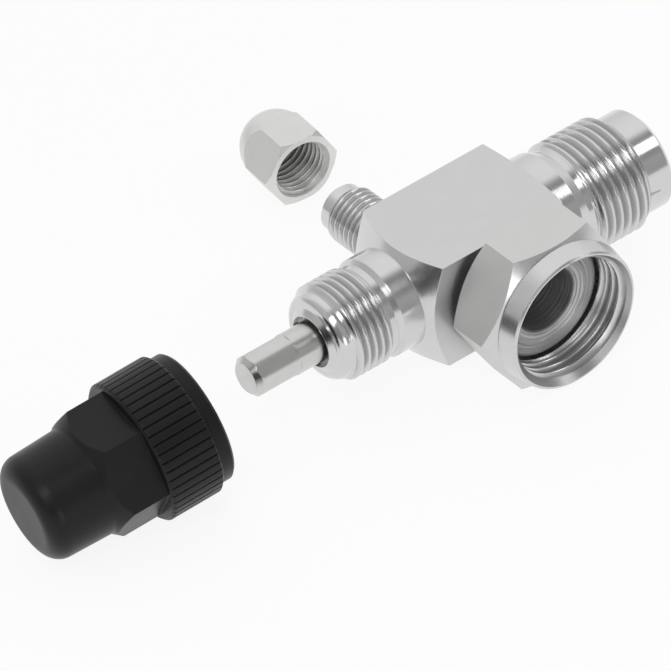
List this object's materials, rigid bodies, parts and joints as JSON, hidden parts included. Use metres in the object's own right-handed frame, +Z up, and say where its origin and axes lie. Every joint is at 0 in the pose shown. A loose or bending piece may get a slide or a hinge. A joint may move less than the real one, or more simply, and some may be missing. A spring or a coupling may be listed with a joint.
{
  "type": "refrigerant service valve",
  "caption": "Angle service valve with a square bar body, swivel nut branch, flare outlet, flatted stem, access port and two caps lying beside it.",
  "frame": {"origin": "in the middle of the swivel nut's thread, on its axis; the stem's axis is at y = 0.0228 and z = 0", "axes": "+X leaves through the flare outlet, -X through the stem, -Y through the swivel nut, +Z up; the nut's lowest flat and the caps lie at z = -0.0145"},
  "size_m": [0.1449, 0.0888, 0.029],
  "materials": {
    "plated_steel": "bright zinc-plated machined steel",
    "nut_steel": "bright zinc-plated machined steel",
    "fitting_steel": "bright zinc-plated machined steel",
    "hexcap_metal": "satin nickel-plated metal",
    "stem_steel": "ground steel bar",
    "spring_steel": "drawn spring wire",
    "brass": "turned brass",
    "packing": "moulded graphite and rubber packing",
    "soft_seal": "moulded sealing rubber",
    "black_plastic": "moulded black nylon, soft sheen"
  },
  "bodies": {
    "body": {"valve_body": "plated_steel", "rotolock_tailpiece": "plated_steel", "stem_guide": "brass", "support_washer": "stem_steel", "packing_ring_inner": "packing", "packing_ring_outer": "packing", "gland_washer": "stem_steel", "access_fitting": "fitting_steel", "core_body": "brass", "core_barrel_seal": "soft_seal", "core_spring": "spring_steel", "access_cap": "hexcap_metal", "access_cap_seal": "soft_seal", "seal_cap": "black_plastic", "seal_cap_gasket": "soft_seal"},
    "nut": {"rotolock_nut": "nut_steel"},
    "disc": {"valve_disc": "stem_steel"},
    "stem": {"stem": "stem_steel", "disc_clip": "spring_steel"},
    "core_pin": {"core_pin": "brass", "core_poppet_seal": "soft_seal"}
  },
  "joints": [
    {"name": "nut_swivel", "type": "hinge", "parent": "body", "child": "nut", "pos_m": [0, 0, 0], "axis": [0, -1, 0], "continuous": true},
    {"name": "disc_travel", "type": "slide", "parent": "body", "child": "disc", "axis": [1, 0, 0], "range_m": [0, 0.0088]},
    {"name": "stem_turn", "type": "hinge", "parent": "disc", "child": "stem", "pos_m": [-0.03, 0.0228, 0], "axis": [1, 0, 0], "range_deg": [0, 2534]},
    {"name": "core_press", "type": "slide", "parent": "body", "child": "core_pin", "axis": [0, -1, 0], "range_m": [0, 0.0012], "stiffness_N_per_m": 900, "springref_m": -0.003, "deforming": ["core_spring"]}
  ],
  "couplings": [
    {"joint": "disc_travel", "follows": "stem_turn", "m_per_rad": 0.00019894}
  ]
}
